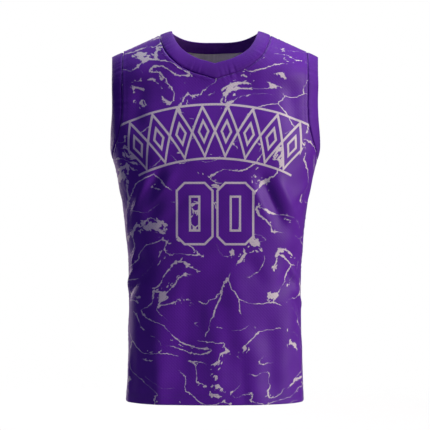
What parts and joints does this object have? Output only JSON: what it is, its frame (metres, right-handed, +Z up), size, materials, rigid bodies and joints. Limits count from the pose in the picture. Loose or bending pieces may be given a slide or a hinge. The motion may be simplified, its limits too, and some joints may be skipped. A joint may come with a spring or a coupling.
{
  "type": "basketball jersey",
  "caption": "Sleeveless basketball jersey, filled out as worn and hollow, with a low V neckband, armhole bands and open neck, armholes and hem.",
  "frame": {"origin": "between the shoulders, on the line of the shoulder seams and at the height of their middle, where the wearer's shoulders hold the jersey up", "axes": "+Z up, the front of the jersey faces -Y, +X is on the right of someone who looks at the front"},
  "size_m": [0.4408, 0.2386, 0.7761],
  "materials": {
    "printed_knit": "fine polyester knit, purple with printed grey veins, soft sheen",
    "rib_knit": "plain purple rib knit, folded double, soft sheen",
    "print_back": "unprinted grey wrong side of the knit, matt",
    "sewing_thread": "dark purple polyester thread"
  },
  "bodies": {
    "root": {"front_panel": "printed_knit", "back_panel": "printed_knit", "neckband": "rib_knit", "right_arm_band": "rib_knit", "left_arm_band": "rib_knit"}
  },
  "joints": []
}
